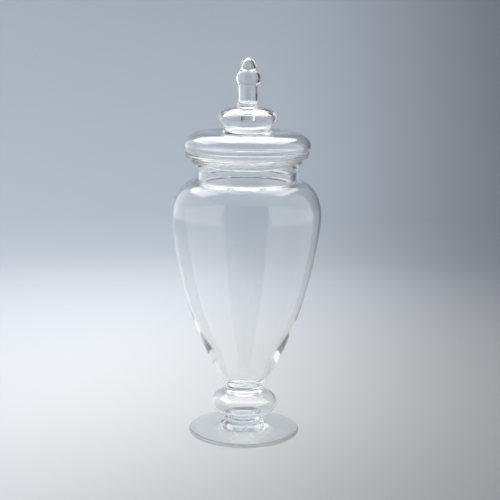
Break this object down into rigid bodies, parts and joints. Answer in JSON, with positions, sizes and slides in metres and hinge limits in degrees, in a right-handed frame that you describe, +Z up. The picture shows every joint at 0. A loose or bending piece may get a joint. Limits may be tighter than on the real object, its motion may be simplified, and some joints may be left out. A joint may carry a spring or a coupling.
{
  "type": "apothecary jar",
  "caption": "Tall clear glass apothecary jar on a knopped stem and round foot, with a lift-off lid in two hollow tiers and a hollow pointed finial.",
  "frame": {"origin": "centre of the ring that the foot stands on, in the plane of the table", "axes": "+Z up along the jar's axis of revolution; +X to the right and +Y away from a viewer in front. The jar is a body of revolution, so X and Y are otherwise arbitrary."},
  "size_m": [0.1788, 0.1788, 0.4531],
  "materials": {
    "clear_glass": "clear, colourless, polished soda-lime glass, fire-polished at the rims, with the soft ripple of blown glass"
  },
  "bodies": {
    "jar": {"foot": "clear_glass", "stem_collar": "clear_glass", "knop": "clear_glass", "wafer": "clear_glass", "bowl": "clear_glass"},
    "lid": {"lid_dome": "clear_glass", "lid_button": "clear_glass", "finial": "clear_glass"}
  },
  "joints": [
    {"name": "lid_lift", "type": "slide", "parent": "jar", "child": "lid", "axis": [0, 0, 1], "range_m": [0, 0.06]}
  ]
}
